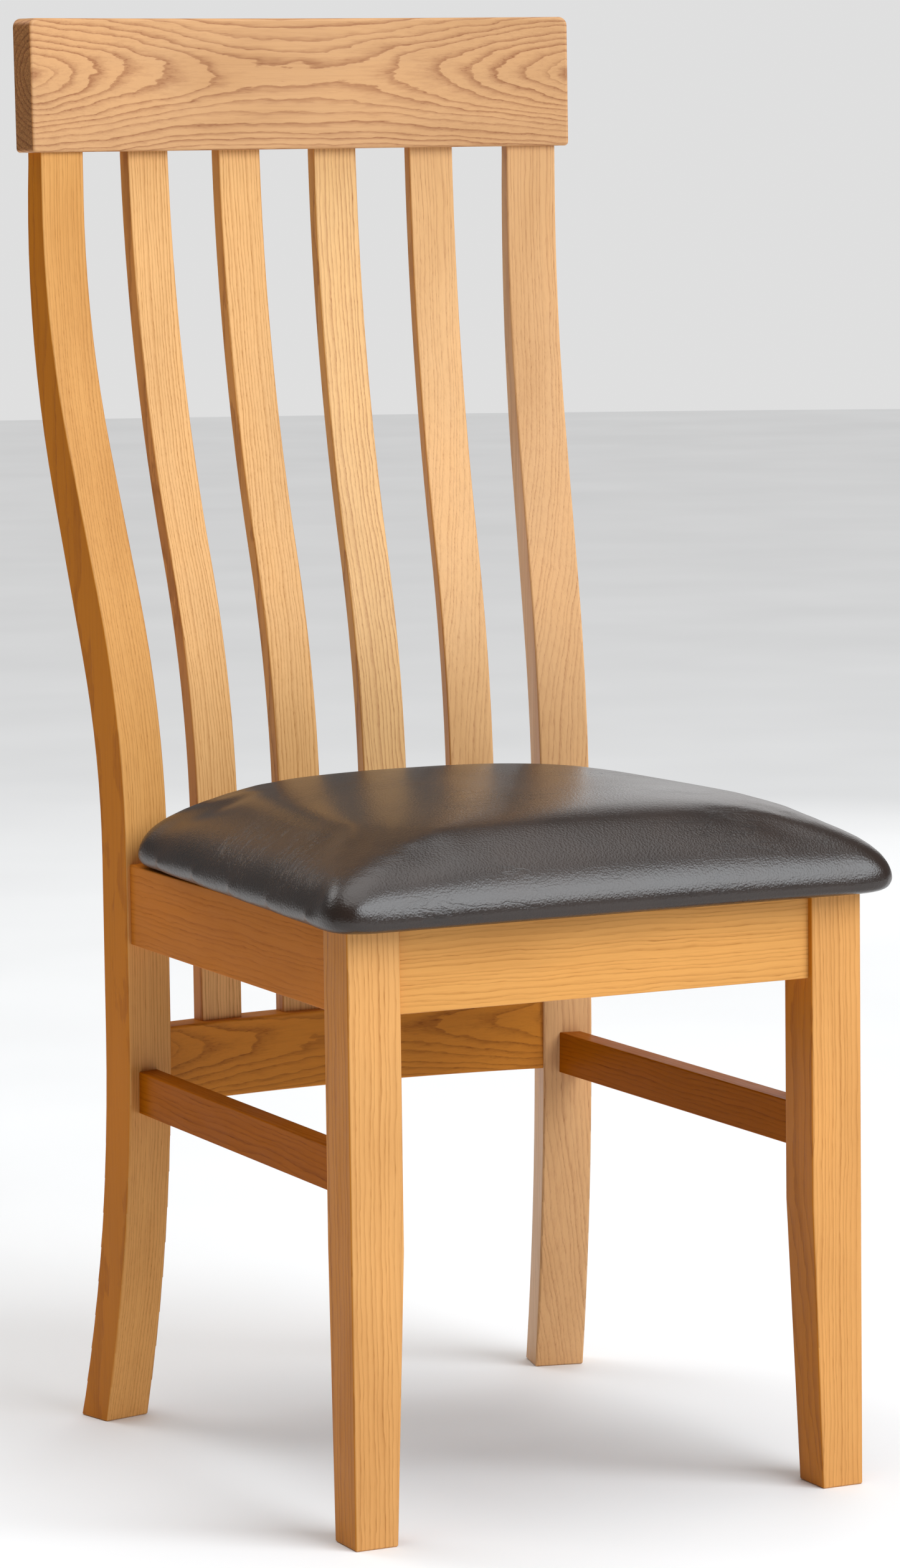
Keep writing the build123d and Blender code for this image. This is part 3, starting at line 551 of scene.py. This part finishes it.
def keep_shape(item):
    """Turns an object's evaluated shape into its own mesh and drops its modifiers."""
    graph = bpy.context.evaluated_depsgraph_get()
    graph.update()
    mesh = bpy.data.meshes.new_from_object(item.evaluated_get(graph))
    item.modifiers.clear()
    item.data = mesh


def reshape(item, kind, **settings):
    """Runs one modifier on an object and keeps the result."""
    modifier = item.modifiers.new(kind.lower(), kind)
    for name, value in settings.items():
        setattr(modifier, name, value)
    keep_shape(item)


def inflate(item):
    """Swells the pad as a cloth under pressure, with its underside held and each point's move capped."""
    start = [vertex.co.copy() for vertex in item.data.vertices]
    held = item.vertex_groups.new(name="held")
    low = [vertex.index for vertex in item.data.vertices if vertex.co.z < RAIL_TOP + HELD_BELOW]
    held.add(low, 1.0, "REPLACE")
    cloth = item.modifiers.new("cloth", "CLOTH")
    for name, value in INFLATION.items():
        setattr(cloth.settings, name, value)
    cloth.settings.vertex_group_mass = held.name
    cloth.settings.effector_weights.gravity = 0
    cloth.point_cache.frame_start = 1
    cloth.point_cache.frame_end = SIM_FRAMES
    for step in range(1, SIM_FRAMES + 1):
        bpy.context.scene.frame_set(step)
    keep_shape(item)
    bpy.context.scene.frame_set(1)
    for vertex, before in zip(item.data.vertices, start):
        move = vertex.co - before
        if move.length > SWELL_CAP:
            vertex.co = before + move * (SWELL_CAP / move.length)


cushion = build_pad()
reshape(cushion, "REMESH", mode="VOXEL", voxel_size=VOXEL)
inflate(cushion)
reshape(cushion, "CORRECTIVE_SMOOTH", factor=0.5, iterations=10, use_only_smooth=True)
reshape(cushion, "SUBSURF", levels=1, render_levels=1)
for face in cushion.data.polygons:
    face.use_smooth = True
cushion.data.materials.clear()
cushion.data.materials.append(make_leather())
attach(cushion, BODY)
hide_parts("seat_cover", "seat_foam")

# ---------------------------------------------------------------- floor
FLOOR_RADIUS, FLOOR_SIDES = 15.0, 96
FLOOR_CELLS, FLOOR_ROUGHNESS = (2, 2, 2), (0.75, 0.85)
FLOOR_COLOURS = ((0.3, (0.84, 0.84, 0.84)), (0.7, (0.88, 0.88, 0.88)))


def make_floor():
    """A round, pale, matt floor."""
    material, shader, tree, place = new_material("studio_floor")
    cloud = tree.noise(place, FLOOR_CELLS)
    rough = tree.span(cloud, *NOISE_RANGE, *FLOOR_ROUGHNESS)
    finish_material(tree, shader, tree.ramp(cloud, FLOOR_COLOURS), rough)
    mesh = bpy.data.meshes.new("floor")
    turns = [2 * pi * side / FLOOR_SIDES for side in range(FLOOR_SIDES)]
    rim = [(FLOOR_RADIUS * cos(turn), FLOOR_RADIUS * sin(turn), 0) for turn in turns]
    mesh.from_pydata(rim, [], [tuple(range(FLOOR_SIDES))])
    mesh.materials.append(material)
    item = add_object("floor", mesh)


make_floor()

# ---------------------------------------------------------------- lights and surroundings
AIM = Vector((0, 0, 0.5))
SOFTBOXES = (      # name, place, width and height, power in watts, colour
    ("key", (1.7, -3.5, 3.0), (3.4, 3.0), 212, (0.91, 0.96, 1.0)),
    ("back_fill", (-1.6, 2.4, 2.8), (1.6, 1.6), 22, WHITE),
    ("back_sheen", (2.3, 2.7, 1.4), (1.5, 1.5), 9, WHITE),
)
CEILING_HIGH, CEILING_STRENGTH, CEILING_SPREAD = 4, 1.8, radians(60)
SURROUND_COLOUR, SURROUND_STRENGTH = (0.98, 0.99, 1.0, 1), 0.17
BACKDROP_COLOUR = (0.74, 0.74, 0.74, 1)


def make_softbox(name, place, size, power, colour):
    """A rectangular studio light, aimed at the middle of the chair."""
    data = bpy.data.lights.new(name, "AREA")
    data.shape = "RECTANGLE"
    data.size, data.size_y = size
    data.energy = power
    data.color = colour
    lamp = add_object(name, data)
    lamp.location = place
    lamp.rotation_euler = (AIM - Vector(place)).to_track_quat("-Z", "Y").to_euler()


def make_ceiling_light():
    """Soft light from the whole ceiling, which keeps the floor even out to the horizon."""
    data = bpy.data.lights.new("ceiling", "SUN")
    data.energy = CEILING_STRENGTH
    data.angle = CEILING_SPREAD
    add_object("ceiling", data).location = (0, 0, CEILING_HIGH)


def make_surroundings():
    """A dim white world that lights the chair, and a pale backdrop that only the camera sees."""
    world = bpy.data.worlds.new("studio")
    world.use_nodes = True
    surround = world.node_tree.nodes["Background"]
    surround.inputs["Color"].default_value = SURROUND_COLOUR
    surround.inputs["Strength"].default_value = SURROUND_STRENGTH
    tree = Tree(world.node_tree)
    backdrop = tree.add("Background", BACKDROP_COLOUR)
    seen = tree.add("LightPath").outputs["Is Camera Ray"]
    choice = tree.add("MixShader", seen, surround.outputs[0], backdrop.outputs[0])
    tree.links.new(choice.outputs[0], world.node_tree.nodes["World Output"].inputs["Surface"])
    return world


for box in SOFTBOXES:
    make_softbox(*box)
make_ceiling_light()
bpy.context.scene.world = make_surroundings()
bpy.context.scene.view_settings.view_transform = "Standard"
